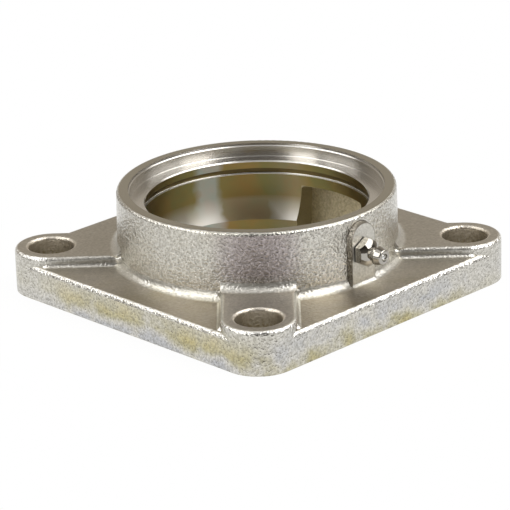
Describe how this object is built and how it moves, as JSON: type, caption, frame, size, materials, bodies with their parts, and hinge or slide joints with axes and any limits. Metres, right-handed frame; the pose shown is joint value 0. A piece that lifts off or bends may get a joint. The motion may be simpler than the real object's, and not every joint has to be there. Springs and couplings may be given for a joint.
{
  "type": "square flange bearing housing",
  "caption": "Square cast flange housing with raised bolt pads, a round hub, a spherical insert seat with loading slots and a screwed grease nipple with a sprung check ball.",
  "frame": {"origin": "centre of the flat back face, on the axis of the bore", "axes": "+Z out along the bore from the back face to the rim, X and Y along the sides of the flange, grease nipple on -Y, loading slots on +X and -X"},
  "size_m": [0.1274, 0.1274, 0.036],
  "materials": {
    "cast_stainless": "investment cast and blasted outside, turned in the bore",
    "turned_steel": "turned and polished",
    "polished_steel": "ground and polished",
    "spring_wire": "drawn wire"
  },
  "bodies": {
    "body": {"housing": "cast_stainless", "grease_nipple": "turned_steel", "check_spring": "spring_wire"},
    "ball": {"check_ball": "polished_steel"}
  },
  "joints": [
    {"name": "ball_slide", "type": "slide", "parent": "body", "child": "ball", "axis": [0, 1, 0], "range_m": [0, 0.0012], "stiffness_N_per_m": 300, "springref_m": -0.0015, "deforming": ["check_spring"]}
  ]
}
